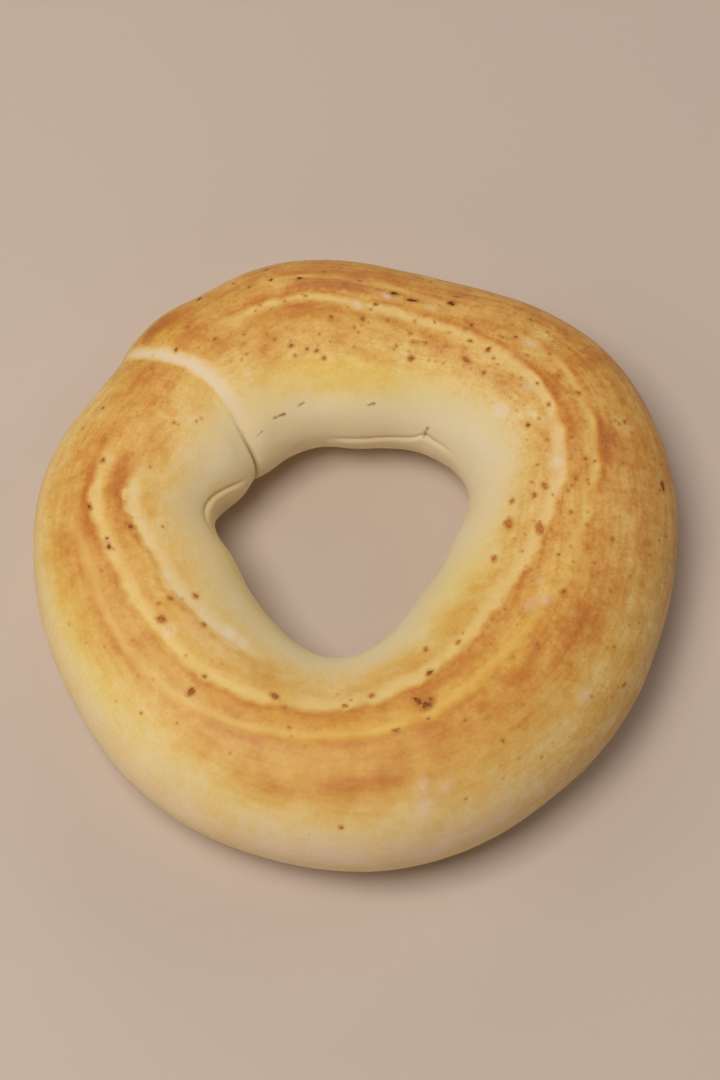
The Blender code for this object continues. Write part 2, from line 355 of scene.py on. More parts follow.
def buildSkinPoint():
    graph, given = openTree("skinPoint", {"turn": 0.0, "around": 0.0, "proud": 0.0, **ringSizes},
                            {"point": "Vector", "half width": "Float", "radius": "Float", "middle": "Vector"})
    turn, around = given["turn"], given["around"]
    hole = given["hole radius"] + swells(turn, ringForm["hole edge"])
    outer = given["outer radius"] + swells(turn, ringForm["outer edge"])
    halfWidth = (outer - hole) * 0.5
    meanHalf = (given["outer radius"] - given["hole radius"]) * 0.5
    crown = given["crown height"] * (halfWidth / meanHalf) ** given["crown share of width"]

    # the section is two half ellipses, the lower one cut off flat at the bottom
    side, rise = around.cosine(), around.sine()
    above = rise.maths("GREATER_THAN", 0.0)
    level = given["widest level"]
    halfHeight = above * (crown - level) + (1.0 - above) * level * given["undercut"]
    middleRadius = (outer + hole) * 0.5
    radius = middleRadius + halfWidth * side
    height = level + halfHeight * rise
    east, north = turn.cosine(), turn.sine()
    spot = graph.combine(east * radius, north * radius, height)

    # relief, in millimetres out of the skin
    lift = seamRelief(turn, around, radius, given)
    for streak in streaks.values():
        lift = lift - streakRelief(turn, around, halfWidth, given, streak)
    for fold in ringForm["folds"]:
        lift = lift + foldRelief(turn, around, halfWidth, given, fold)
    (poreSize, poreHeight), (dimpleSize, dimpleHeight) = ringForm["pores"], ringForm["dimples"]
    wallHeight, *wallRise = ringForm["dimples on wall"]
    lift = lift + graph.noise(spot, poreSize) * poreHeight
    lift = lift + graph.noise(spot, dimpleSize) * (dimpleHeight + wallHeight * around.rise(*wallRise))
    lift = lift + graph.noise(spot, given["lump size"]) * given["lump height"]
    lift = lift * height.rise(0.0, ringForm["relief fades below"]) + given["proud"]

    # the way out of the skin, at right angles to the section
    outward, upward = side / halfWidth, rise / halfHeight
    size = (outward * outward + upward * upward) ** 0.5
    radius = radius + lift * outward / size
    height = (height + lift * upward / size).maths("MAXIMUM", 0.0)
    point = graph.combine(east * radius, north * radius, height)
    middle = graph.combine(east * middleRadius, north * middleRadius, 0.0)
    return closeTree(graph, {"point": point, "half width": halfWidth, "radius": radius, "middle": middle})


def skinAt(graph, given, turn, around, proud=0.0):
    sizes = {label: given[label] for label in ringSizes}
    return graph.node("GeometryNodeGroup", {"node_tree": skinPointTree},
                      {"turn": turn, "around": around, "proud": proud, **sizes})


skinPointTree = buildSkinPoint()
print("skin rule built")


def newMaterial(name):
    material = bpy.data.materials.new(name)
    material.use_nodes = True
    return material, Graph(material.node_tree)


def placeInMm(graph):
    return graph.node("ShaderNodeTexCoord", {}, (), "Object").scaled(1.0 / metresPerMm)


# Browning goes from 0, pale dough, to 1, dark brown. Gaps are millimetres over the skin.
crustFinish = {
    "colours": ((0.00, (0.83, 0.70, 0.46)), (0.14, (0.84, 0.656, 0.36)), (0.30, (0.82, 0.563, 0.205)),
                (0.45, (0.765, 0.458, 0.122)), (0.60, (0.705, 0.362, 0.078)), (0.75, (0.635, 0.268, 0.049)),
                (0.83, (0.57, 0.20, 0.031)), (0.90, (0.49, 0.158, 0.026)), (1.00, (0.27, 0.086, 0.022))),
    # patterns: size, detail, roughness, push of the browning, and further push where it is mottled
    "cloudy": (6.0, 2.0, 0.5, 0.19, 0.1),
    "patchy": (2.2, 3.0, 0.65, 0.15, 0.2),
    "stripes": (1.5, 2.0, 0.6, 0.11, 0.2),
    "fine": (0.75, 2.0, 0.6, 0.06, 0.09),
    "speck": (0.5, 1.0, 0.5, 0.03, 0.16),
    "stripe stretch": (0.14, 0.14, 1.0),
    "speck edge": (0.15, 0.5),
    "browned": (0.05, 0.5),
    "pattern on dough": 0.3,
    "darker than": (0.76, 0.5),  # browning past this level is cut by this share
    # ragged edges: size, detail, roughness, and stretch along the skin
    "ragged": (1.8, 3.0, 0.6, (1.0, 1.0, 0.4)),
    "wavy": (5.0, 2.0, 0.5, (1.0, 1.0, 0.2)),
    # stretch marks: edge by ragged, wavy and fine noise, where they fade in widths, paleness and
    # level by wavy and patchy noise, and the rim's step outward, spread, raggedness and push
    "mark edge": (0.45, 1.3, 0.5),
    "mark fade": (1.5, 0.4),
    "mark paleness": (0.9, 1.2, 0.9),
    "mark palest": 0.95,
    "mark level": (0.15, 0.16),
    "rim": (0.8, 0.7, 1.5, 0.11),
    # the pale seam: its middle lies before the seam's line, and it spreads farther that way
    "seam before": 0.8,
    "seam spread": 0.62,
    "seam edge": (1.55, -0.05),
    "seam waves": 0.3,
    "seam raggedness": (0.35, 0.3),
    "seam level": 0.08,
    "seam darkening": 0.07,
    # brown round the bits
    "halo": (0.58, 0.25, 0.055),
    "halo edge": (0.5, -0.1),
    "halo raggedness": (0.2, 0.1),
    "halo share": 0.6,
    "halo push": 0.1,
    "halo push on dough": 0.5,
    # pinkish white: pale spots, and painted highlights
    "blush": (0.84, 0.68, 0.55),
    "pink and highlight share": (0.6, 1.5),
    "blush on seam": 0.35,
    "pink and highlight most": 0.85,
    "yellow unevenness": 0.06,
    # shade: spread and share of the crease and the folds, and edge, raggedness and share of cracks
    # painted shade colour for the crease, the folds and the cracks
    "grooveShade": (0.27, 0.12, 0.02),
    "crease shade": (0.28, 0.6),
    "fold shade": (0.18, 0.4),
    "crack edge": (0.35, -0.2),
    "crack raggedness": (0.3, 0.6),
    "crack shade": 0.8,
    "bump height": (0.35, 0.25, 0.5),  # by fine, speck and patchy noise
    "bump strength": 0.25,
    "bump distance": 0.12,
    "roughness": (0.56, 0.12),  # and how much less where fully browned
    "surface": {"Subsurface Weight": 0.35, "Subsurface Radius": (1.0, 0.55, 0.25), "Subsurface Scale": 0.002,
                "Specular IOR Level": 0.35},
}


def pattern(graph, where, name):  # a noise, and how far it pushes the browning
    size, detail, roughness, push, further = crustFinish[name]
    return graph.noise(where, size, detail, roughness), push + graph.painted("mottle") * further


def edgeNoise(graph, along, name):
    size, detail, roughness, stretch = crustFinish[name]
    return graph.noise(along.vector("MULTIPLY", stretch), size, detail, roughness)


def markedLevel(graph, level, ragged, wavy, fine, patchy):
    # pale stretch marks, each with a ragged brown rim along its outer edge
    byRagged, byWavy, byFine = crustFinish["mark edge"]
    fadeEnd, fadeStart = crustFinish["mark fade"]
    paleness, paleWavy, palePatchy = crustFinish["mark paleness"]
    levelWavy, levelPatchy = crustFinish["mark level"]
    rimStep, rimSpread, rimRagged, rimPush = crustFinish["rim"]
    gaps = graph.split(graph.painted("streakGaps", "Vector"))
    shares = graph.split(graph.painted("streakShares", "Vector"))
    for axis, streak in zip("XYZ", streaks.values()):
        gap = gaps.part(axis) + ragged * byRagged + wavy * byWavy + fine * byFine
        share = shares.part(axis)
        soft, width = streak["soft"], streak["width"]
        pale = share * gap.rise(-soft, soft) * gap.rise(width * fadeEnd, width * fadeStart)
        pale = pale * (paleness + wavy * paleWavy + patchy * palePatchy)
        pale = pale.between(0.0, crustFinish["mark palest"])
        rim = share * (gap + rimStep).bell(rimSpread) * (1.0 + ragged * rimRagged)
        markLevel = streak["level"] + wavy * levelWavy + patchy * levelPatchy
        level = level + (markLevel - level) * pale + rim * rimPush
    return level


def seamBand(graph, ragged, wavy, patchy):
    byRagged, byPatchy = crustFinish["seam raggedness"]
    seam = graph.painted("seamGap") + crustFinish["seam before"] + wavy * crustFinish["seam waves"]
    edge = seam.maths("MAXIMUM", seam * -crustFinish["seam spread"]) + ragged * byRagged + patchy * byPatchy
    return edge.rise(*crustFinish["seam edge"]) * graph.painted("seamShare")


def shadeShare(graph, fine, patchy):
    # painted shade gathered in the crease, the folds and the cracks
    creaseSpread, creaseMost = crustFinish["crease shade"]
    foldSpread, foldMost = crustFinish["fold shade"]
    byFine, byPatchy = crustFinish["crack raggedness"]
    crease = graph.painted("seamGap").bell(creaseSpread) * graph.painted("creaseShare") * creaseMost
    fold = graph.painted("foldGap").bell(foldSpread) * graph.painted("foldShare") * foldMost
    grooveShade = (graph.painted("crackGap") + fine * byFine + patchy * byPatchy).rise(*crustFinish["crack edge"])
    return crease.maths("MAXIMUM", fold).maths("MAXIMUM", grooveShade * crustFinish["crack shade"])


def buildCrustMaterial():
    material, graph = newMaterial("bakedCrust")
    finish = crustFinish
    where = placeInMm(graph)
    along = graph.painted("place", "Vector")
    cloudy, cloudyPush = pattern(graph, where, "cloudy")
    patchy, patchyPush = pattern(graph, where, "patchy")
    fine, finePush = pattern(graph, where, "fine")
    speck, speckPush = pattern(graph, where, "speck")
    stripes, stripesPush = pattern(graph, along.vector("MULTIPLY", finish["stripe stretch"]), "stripes")
    ragged, wavy = edgeNoise(graph, along, "ragged"), edgeNoise(graph, along, "wavy")

    level = graph.painted("brownness")
    browned = level.rise(*finish["browned"])
    onDough = finish["pattern on dough"]
    level = level + (cloudy * cloudyPush + patchy * patchyPush) * (onDough + browned * (1.0 - onDough))
    level = level + stripes * stripesPush * browned + fine * finePush
    level = level + speck.rise(*finish["speck edge"]) * speckPush
    level = markedLevel(graph, level, ragged, wavy, fine, patchy)
    darkest, cut = finish["darker than"]
    level = level - (level - darkest).maths("MAXIMUM", 0.0) * cut
    band = seamBand(graph, ragged, wavy, patchy)
    level = level + (finish["seam level"] - level) * band
    byPatchy, byFine = finish["halo raggedness"]
    halo = (graph.painted("bitGap") + patchy * byPatchy + fine * byFine).rise(*finish["halo edge"])
    level = level + halo * finish["halo push"] * (finish["halo push on dough"] + level)

    colour = graph.node("ShaderNodeValToRGB", {"stops": finish["colours"]}, (level,))
    # painted shade towards the hole, and a darker seam band, dim the colour
    bright = 1.0 - graph.painted("dimness") - band * finish["seam darkening"]
    unevenness = finish["yellow unevenness"]
    yellow = graph.painted("yellow") + cloudy * unevenness + patchy * unevenness
    colour = colour.vector("MULTIPLY", graph.combine(bright, bright, bright * (1.0 - yellow)))
    share, byPatchy = finish["pink and highlight share"]
    # pinkish white: pale spots and painted highlights, and the seam's pale band
    blush = graph.painted("blush") * (share + patchy * byPatchy) + band * finish["blush on seam"]
    colour = graph.mixed(blush.between(0.0, finish["pink and highlight most"]), colour, finish["blush"])
    colour = graph.mixed(halo * finish["halo share"], colour, finish["halo"])
    # painted shade in the crease, the folds and the cracks
    colour = graph.mixed(shadeShare(graph, fine, patchy), colour, finish["grooveShade"])

    byFine, bySpeck, byPatchy = finish["bump height"]
    height = fine * byFine + speck * bySpeck + patchy * byPatchy
    bump = graph.node("ShaderNodeBump", {}, {"Height": height, "Strength": finish["bump strength"],
                                             "Distance": finish["bump distance"] * metresPerMm})
    roughness, smoother = finish["roughness"]
    shader = graph.node("ShaderNodeBsdfPrincipled", {}, {
        "Base Color": colour, "Roughness": roughness - level * smoother, "Normal": bump, **finish["surface"]})
    graph.node("ShaderNodeOutputMaterial", {}, {"Surface": shader})
    return material


bitFinish = {
    "darkest": (0.13, 0.022, 0.004),
    "palest": (0.58, 0.195, 0.046),
    "rim": (0.67, 0.315, 0.068),
    "contrast": 2.0,  # the power of the painted darkness
    "grain": (0.5, 2.0),  # size and detail
    "grain in colour": 0.35,
    "grain at rim": 0.3,
    "rim edge": (0.4, 0.95),  # of a bit's half height
    "roughness": (0.6, 0.08),  # and how much the grain changes it
    "specular": 0.1,
}


def buildBitMaterial():
    material, graph = newMaterial("toastedCheese")
    finish = bitFinish
    grain = graph.noise(placeInMm(graph), *finish["grain"])
    dark = graph.painted("darkness") ** finish["contrast"] + grain * finish["grain in colour"]
    colour = graph.mixed(dark.between(0.0, 1.0), finish["palest"], finish["darkest"])
    top = (graph.painted("standing") + grain * finish["grain at rim"]).rise(*finish["rim edge"])
    colour = graph.mixed(top, finish["rim"], colour)
    roughness, byGrain = finish["roughness"]
    shader = graph.node("ShaderNodeBsdfPrincipled", {}, {
        "Base Color": colour, "Roughness": roughness + grain * byGrain,
        "Specular IOR Level": finish["specular"]})
    graph.node("ShaderNodeOutputMaterial", {}, {"Surface": shader})
    return material


bakedCrust = buildCrustMaterial()
toastedCheese = buildBitMaterial()
print("materials built")


cheeseBits = {
    # turn, around, length, width, heading off the ring's direction, darkness
    "listed": (
        (287.0, 96.6, 2.2, 1.3, 115, 0.78), (288.7, 92.8, 2.3, 1.5, 15, 0.84),
        (290.1, 94.0, 1.2, 1.1, 60, 0.75), (6.2, 34.2, 2.6, 1.3, 0, 0.95), (75.0, 70.6, 3.2, 0.9, 4, 1.0),
        (79.5, 68.1, 2.2, 1.4, 12, 1.0), (65.9, 65.8, 1.8, 1.5, 20, 0.95),
        (54.1, 104.4, 2.4, 1.3, -10, 0.55), (351.4, 104.0, 2.7, 1.5, 15, 0.35),
        (352.7, 120.5, 2.6, 1.8, 20, 0.35), (293.0, 106.2, 1.9, 1.4, 10, 0.75),
        (337.5, 121.6, 1.4, 1.2, 0, 0.5), (214.1, 91.4, 2.1, 1.5, 30, 0.55),
        (232.7, 79.4, 1.7, 1.4, 80, 0.7), (250.5, 103.3, 1.9, 1.1, 0, 0.65),
        (186.4, 94.2, 1.4, 1.1, 30, 0.8), (212.7, 114.7, 1.5, 1.0, 0, 0.45),
        (5.5, 106.0, 1.7, 1.1, 60, 0.4), (2.7, 110.7, 1.2, 0.9, 0, 0.5), (2.0, 122.6, 1.3, 0.8, 0, 0.4),
        (26.4, 110.7, 1.0, 0.9, 0, 0.75), (28.8, 94.8, 0.9, 0.7, 0, 0.7), (47.7, 107.3, 1.2, 0.9, 30, 0.5),
        (51.1, 92.5, 1.4, 1.0, 70, 0.8), (56.5, 91.4, 0.9, 0.7, 0, 0.6), (58.6, 80.3, 1.2, 0.8, 60, 0.7),
        (69.8, 111.8, 1.4, 1.0, 20, 0.6), (67.3, 99.9, 0.9, 0.7, 0, 0.7), (70.9, 100.8, 0.8, 0.5, 0, 0.55),
        (65.7, 57.3, 1.3, 0.6, 10, 0.8), (86.8, 90.8, 1.4, 1.0, 80, 0.6), (83.6, 78.9, 1.1, 0.8, 40, 0.6),
        (95.5, 91.9, 0.9, 0.7, 0, 0.75), (99.4, 117.2, 0.9, 0.7, 0, 0.55),
        (101.2, 112.4, 0.9, 0.7, 30, 0.6), (104.2, 111.2, 1.0, 0.7, 60, 0.6),
        (108.8, 106.5, 0.9, 0.7, 0, 0.6), (112.7, 99.5, 0.7, 0.5, 0, 0.5), (101.4, 60.7, 1.3, 0.9, 30, 1.0),
        (107.6, 56.9, 1.1, 0.6, 40, 0.9), (112.5, 56.4, 1.0, 0.5, 20, 0.8), (88.0, 61.2, 0.9, 0.5, 0, 0.8),
        (107.5, 41.4, 1.4, 0.9, 20, 0.9), (122.3, 36.8, 1.4, 0.9, 30, 0.9), (34.0, 80.0, 1.0, 0.7, 0, 0.5),
        (11.5, 84.9, 0.9, 0.7, 0, 0.6), (28.2, 76.0, 1.4, 1.0, 20, 0.45), (49.4, 55.6, 1.2, 0.7, 0, 0.65),
        (6.4, 89.7, 1.5, 1.0, 30, 0.4), (126.8, 82.4, 0.9, 0.7, 30, 0.6), (135.3, 69.8, 0.9, 0.6, 0, 0.8),
        (168.2, 75.5, 1.0, 0.8, 20, 0.7), (180.0, 71.5, 1.2, 0.8, 20, 0.75),
        (190.9, 79.4, 1.1, 0.8, 10, 0.75), (188.6, 79.4, 0.8, 0.7, 0, 0.6),
        (210.2, 101.0, 1.1, 0.8, 30, 0.6), (222.3, 109.0, 1.0, 0.8, 0, 0.45),
        (232.9, 90.2, 1.0, 0.7, 0, 0.6), (253.8, 99.4, 0.9, 0.7, 0, 0.55), (268.6, 106.3, 1.1, 0.8, 0, 0.6),
        (275.9, 110.2, 1.2, 0.8, 0, 0.5), (280.3, 86.9, 1.5, 0.9, 0, 0.5),
        (295.3, 118.8, 1.1, 0.8, 60, 0.55), (305.0, 109.0, 1.0, 0.8, 0, 0.55),
        (319.5, 80.1, 1.5, 1.0, 60, 0.45), (334.5, 82.4, 1.3, 1.0, 0, 0.55),
        (351.4, 67.0, 1.0, 0.8, 0, 0.5), (326.5, 27.3, 1.2, 0.8, 0, 0.4), (268.5, 38.6, 1.0, 0.7, 0, 0.3),
        (48.2, 76.3, 1.0, 0.7, 40, 0.7), (19.3, 55.2, 1.0, 0.6, 0, 0.7), (95.9, 54.3, 0.9, 0.6, 20, 0.75),
    ),
    "scattered": 640,
    "scattered around": (30.0, 115.0),
    "thickest at": (45.0, 70.0),
    "share elsewhere": 0.12,
    "smallest": 0.2,
    "largest": 0.8,
    "commoner small": 3.0,  # the power of the draw between them
    "narrowness": (0.55, 0.95),
    "darkness": (0.1, 0.85),
    "enlarged": 1.06,  # listed and scattered ones
    "flatness": 0.24,  # half the thickness, as a share of the width
    "sunk": 0.5,
    "probe": 0.5,  # degrees to each side, for the skin's slope
    "lump radius": 0.5,
    "subdivisions": 2,
    "ragged scale": 1.4,
    "ragged push": (0.7, 0.7, 0.3),
    "seed": 11,
}


def listedPoints():
    mesh = bpy.data.meshes.new("listedBits")
    mesh.vertices.add(len(cheeseBits["listed"]))
    for column, name in enumerate(("turn", "around", "length", "width", "heading", "darkness")):
        values = mesh.attributes.new(name, "FLOAT", "POINT").data
        for vertex, row in enumerate(cheeseBits["listed"]):
            values[vertex].value = row[column]
    return mesh


def bitSpots(graph, given):
    # the listed points, and scattered ones that are kept more often on the far side
    def draw(low, high, step):
        return graph.node("FunctionNodeRandomValue", {"data_type": "FLOAT"},
                          {"Min": low, "Max": high, "Seed": given["seed"] + float(step)})

    loose = graph.node("GeometryNodePoints", {}, {"Count": given["scattered"]})
    smallest, largest = cheeseBits["smallest"], cheeseBits["largest"]
    size = smallest + (largest - smallest) * draw(0.0, 1.0, 3) ** cheeseBits["commoner small"]
    drawn = {
        "turn": draw(0.0, 360.0, 1),
        "around": draw(*cheeseBits["scattered around"], 2),
        "length": size,
        "width": size * draw(*cheeseBits["narrowness"], 4),
        "heading": draw(0.0, 180.0, 5),
        "darkness": draw(*cheeseBits["darkness"], 6),
    }
    for name, value in drawn.items():
        loose = graph.kept(loose, name, value)
    at, spread = cheeseBits["thickest at"]
    chance = graph.stored("turn").angleFrom(at).bell(spread) + cheeseBits["share elsewhere"]
    loose = graph.node("GeometryNodeDeleteGeometry", {"domain": "POINT"},
                       {"Geometry": loose, "Selection": draw(0.0, 1.0, 7).maths("GREATER_THAN", chance)})
    listed = graph.node("GeometryNodeMeshToPoints", {}, {"Mesh": given["listed"]})
    spots = graph.node("GeometryNodeJoinGeometry", {}, {"Geometry": listed})
    graph.tree.links.new(loose.socket, spots.socket.node.inputs["Geometry"])
    return spots


def bitLump(graph):
    radius = cheeseBits["lump radius"]
    lump = graph.node("GeometryNodeMeshIcoSphere", {},
                      {"Radius": radius, "Subdivisions": cheeseBits["subdivisions"]})
    above = graph.split(graph.node("GeometryNodeInputPosition")).part("Z")
    return graph.kept(lump, "standing", above * (1.0 / radius))


def buildBits():
    graph, given = openTree("cheeseBits", {"listed": "Geometry", "scattered": 0, "seed": 0, **ringSizes},
                            {"bits": "Geometry"})
    spots = bitSpots(graph, given)
    turn, around, length, width = (graph.stored(name) for name in ("turn", "around", "length", "width"))
    length, width = length * cheeseBits["enlarged"], width * cheeseBits["enlarged"]
    height = width * cheeseBits["flatness"]
    spot = skinAt(graph, given, turn, around, -(height * cheeseBits["sunk"]))

    # each lump stands on the skin, turned by its heading
    probe = cheeseBits["probe"]
    before, past = (skinAt(graph, given, turn + step, around) for step in (-probe, probe))
    below, above = (skinAt(graph, given, turn, around + step) for step in (-probe, probe))
    along, across = past.vector("SUBTRACT", before), above.vector("SUBTRACT", below)
    facing = graph.node("FunctionNodeAxesToRotation", {"primary_axis": "Z", "secondary_axis": "X"},
                        (along.vector("CROSS_PRODUCT", across), along))
    swing = graph.node("FunctionNodeAxisAngleToRotation", {},
                       {"Axis": (0.0, 0.0, 1.0), "Angle": graph.stored("heading") * degree})
    facing = graph.node("FunctionNodeRotateRotation", {"rotation_space": "LOCAL"}, (facing, swing))
    spots = graph.node("GeometryNodeSetPosition", {}, {"Geometry": spots, "Position": spot})
    bits = graph.node("GeometryNodeInstanceOnPoints", {}, {
        "Points": spots, "Instance": bitLump(graph), "Rotation": facing,
        "Scale": graph.combine(length, width, height * 2.0)})
    bits = graph.node("GeometryNodeRealizeInstances", {}, {"Geometry": bits})

    # uneven outlines
    here = graph.node("GeometryNodeInputPosition")
    ragged = graph.node("ShaderNodeTexNoise", {"noise_dimensions": "3D"},
                        {"Vector": here, "Scale": cheeseBits["ragged scale"], "Detail": 1.0}, "Color")
    ragged = ragged.vector("SUBTRACT", (0.5, 0.5, 0.5)).scaled(width)
    ragged = ragged.vector("MULTIPLY", cheeseBits["ragged push"])
    place = here.vector("ADD", ragged).scaled(metresPerMm)
    bits = graph.node("GeometryNodeSetPosition", {}, {"Geometry": bits, "Position": place})
    bits = graph.node("GeometryNodeSetShadeSmooth", {}, {"Geometry": bits})
    bits = graph.node("GeometryNodeSetMaterial", {}, {"Geometry": bits, "Material": toastedCheese})
    inputs = {"scattered": cheeseBits["scattered"], "seed": cheeseBits["seed"], **ringSizes}
    return grow("toasted_bits", closeTree(graph, {"bits": bits}), inputs, listedPoints())


bits = buildBits()
print("toasted bits grown:", len(bits.data.polygons), "faces")


breadRing = {
    "columns": 580,
    "underside rows": 3,
    # bands of rows: where each ends round the section, and its rows
    "bands": ((40.0, 30), (150.0, 100), (190.0, 26), (231.4, 10)),
    "first around": -51.4,
    "merged within": 0.01,
}
crustZones = {
    # levels of browning, and the angles round the section where a zone starts and ends; what
    # varies along the ring is given by turn, spread and push or share
    "crown": 0.58,
    "cream": 0.03,
    "cream start": (88.0, ((140, 18, -9.0), (200, 30, -4.0), (290, 50, 10.0))),
    "cream end": (151.0, ((30, 25, -9.0), (140, 20, -12.0), (320, 22, 2.0))),
    "far side": 0.71,
    "far side turns": ((50, 75, 1.0), (345, 30, 0.4)),
    "outside": (85.0, 45.0),
    # the outer side pales towards its foot
    "foot share": ((160, 20, 0.3), (195, 30, 0.45), (235, 35, 0.56), (268, 14, 0.12), (292, 36, 0.48),
                   (342, 22, 0.28)),
    "foot start": (58.0, ((230, 22, 20.0), (270, 15, 6.0), (308, 25, 12.0))),
    "foot reach": 34.0,
    "low share": 0.12,
    "low": (8.0, -22.0),
    # patches: turn, around, their spreads, push
    "patches": (
        (14.5, 71, 5, 6, 0.45), (23, 66, 5, 9, -0.18), (5, 66, 4, 9, -0.04), (28, 85, 15, 5, 0.16),
        (92, 50, 13, 10, 0.07), (100, 69, 13, 5, 0.1), (104, 86, 10, 5, 0.08), (174, 89, 12, 6, 0.26),
        (174, 70, 12, 5, 0.28), (132, 42, 8, 10, 0.28), (146, 62, 6, 14, 0.1), (290, 101, 42, 7, 0.09),
        (230, 78, 14, 12, -0.08), (290, 120, 12, 5, 0.06), (320, 124, 12, 4, 0.1), (329, 70, 13, 10, 0.2),
        (254.5, 54.5, 5, 6, 0.26), (272, 63, 6, 6, 0.2), (305, 76, 40, 9, 0.08), (205, 152, 38, 16, 0.16),
        (250, 86, 14, 6, 0.08), (92, 64, 12, 6, 0.1), (80, 95, 16, 6, -0.22), (8, 99, 12, 6, -0.12),
        (138, 98, 14, 10, -0.15), (338, 50, 20, 10, -0.14), (310, 63, 16, 6, -0.06),
        (220, 100, 18, 8, -0.16), (165, 158, 20, 14, 0.15), (212, 46, 8, 10, 0.08), (130, 47, 3, 5, 0.1),
        (134.5, 38, 3, 6, 0.25), (31, 88, 12, 4, 0.12), (99, 82, 8, 3, 0.1), (36, 86, 7, 3, 0.1),
        (103, 84, 4, 2.5, 0.14), (131, 68, 4, 5, 0.2), (40, 105, 5, 4, 0.24), (61, 79.5, 6, 3, 0.1),
        (5, 90, 3, 3, 0.14), (44, 75, 4, 3, -0.12), (73, 71, 6, 4, -0.1), (95, 68, 9, 3, 0.2),
        (8, 100, 6, 4, -0.1), (112, 64, 9, 2, -0.1), (255, 117, 3, 3, 0.14), (297, 99, 16, 3, 0.14),
        (330, 101, 8, 3, 0.08), (331, 92, 5, 2.5, -0.08), (342, 89, 7, 6, -0.12), (352, 60, 8, 8, -0.08),
        (160, 90, 6, 6, -0.1), (60, 121, 14, 5, 0.06), (319, 47, 4, 6, -0.08), (90, 115, 22, 8, 0.14),
        (350, 117, 14, 6, 0.13), (96, 76, 12, 3.5, 0.12), (64, 64, 6, 8, -0.13), (334, 76, 7, 5, -0.16),
        (136, 51, 4, 7, -0.15), (224, 45, 12, 8, 0.12), (184, 99, 7, 4, 0.34), (288.5, 93, 3, 4, 0.34),
        (304, 104, 5, 3, -0.16), (250, 76, 9, 4, 0.12), (14, 42, 10, 12, -0.1), (112, 92, 6, 5, -0.13),
        (296, 113, 7, 5, 0.12), (156, 59, 8, 7, -0.1),
    ),
    "wall patches": ((205, 157, 38, 14, 0.13), (30, 160, 11, 14, -0.1), (165, 168, 12, 10, 0.08),
                     (100, 134, 32, 9, 0.1)),
    # less blue than the browning's own colour: turn, around, their spreads, share
    "yellow": (
        (88, 125, 42, 17, 0.34), (322, 129, 38, 14, 0.2), (285, 87, 60, 13, 0.28), (205, 128, 40, 14, 0.08),
        (212, 42, 28, 15, 0.28), (85, 50, 50, 16, 0.15), (282, 15, 45, 14, -0.35), (350, 14, 22, 12, -0.1),
        (262, 70, 18, 9, 0.18), (210, 157, 42, 14, 0.2), (322, 145, 22, 8, 0.2), (12, 98, 12, 10, -0.2),
        (222, 108, 16, 10, -0.15), (132, 42, 7, 10, 0.35),
    ),
    # painted shade, darker towards the hole and varying round the ring; and mottled
    "hole shade turns": ((265, 75, 0.12), (30, 60, 0.06), (110, 50, -0.06)),
    "dim": (92.0, 125.0),
    "mottle turns": ((50, 80, 0.9), (330, 30, 0.35), (150, 40, 0.3), (215, 40, 0.2)),
    "mottle": (142.0, 98.0),
    # the pale seam and its crease, round the section
    "seam shown": ((4.0, 48.0), (158.0, 118.0)),
    "crease shown": (130.0, 160.0),
    # small pinkish white spots, some pale patches of crust and some painted highlights: turn, around, radius
    # in millimetres, share
    "blush": (
        (35.5, 119.0, 1.9, 1.2), (217.7, 91.4, 1.6, 0.8), (169.0, 102.0, 1.3, 0.6),
        (229.0, 118.5, 1.8, 0.7), (234.0, 121.0, 1.4, 0.6), (327.0, 93.5, 1.6, 0.45),
        (330.5, 89.5, 1.8, 0.45), (334.5, 95.0, 1.3, 0.35), (88.5, 81.5, 1.3, 0.8), (12.5, 99.0, 1.5, 0.6),
        (81.0, 71.0, 1.4, 0.6), (168.0, 80.0, 1.0, 0.7), (190.0, 80.5, 1.2, 0.4), (283.0, 45.0, 2.8, 0.7),
        (287.0, 52.0, 2.1, 0.6), (70.0, 72.5, 1.3, 0.6), (25.0, 97.0, 1.2, 0.5), (36.2, 98.5, 1.5, 0.6),
        (236.0, 36.0, 1.8, 0.45), (298.0, 130.5, 2.2, 0.4), (319.0, 46.0, 2.4, 0.45),
        (283.0, 57.0, 2.0, 0.5), (45.0, 75.0, 1.6, 0.5),
    ),
    "pink and highlight reach": 1.25,
    # cracks: start and end, as turn and around, and half their width in millimetres
    "cracks": (
        (54.2, 158.0, 54.8, 168.0, 0.12), (79.6, 144.8, 82.2, 145.8, -0.06),
        (110.6, 143.2, 112.8, 143.9, 0.0), (120.4, 144.9, 124.8, 143.8, 0.22),
        (127.5, 146.2, 136.5, 148.0, -0.1),
    ),
}


def patchwork(turn, around, patches, level=0.0):
    for atTurn, atAround, overTurn, overAround, push in patches:
        level = turn.angleFrom(atTurn).bell(overTurn) * (around - atAround).bell(overAround) * push + level
    return level


def brownness(turn, around):
    zones = crustZones
    start, startSwells = zones["cream start"]
    end, endSwells = zones["cream end"]
    cream = around.rise(start + swells(turn, startSwells), end + swells(turn, endSwells))
    farShare = swells(turn, zones["far side turns"]).between(0.0, 1.0)
    level = zones["crown"] + (zones["far side"] - zones["crown"]) * around.rise(*zones["outside"]) * farShare
    level = patchwork(turn, around, zones["patches"], level)
    footStart, footSwells = zones["foot start"]
    footStart = footStart + swells(turn, footSwells)
    foot = swells(turn, zones["foot share"]) * around.rise(footStart, footStart - zones["foot reach"])
    level = level * (1.0 - foot) * (1.0 - zones["low share"] * around.rise(*zones["low"]))
    level = level + (zones["cream"] - level) * cream
    return patchwork(turn, around, zones["wall patches"], level)


def spotGap(turn, around, radius, halfWidth, atTurn, atAround):
    # sideways and upward millimetres along the skin from a point on it
    return turn.angleFrom(atTurn) * radius * degree, (around - atAround) * halfWidth * degree


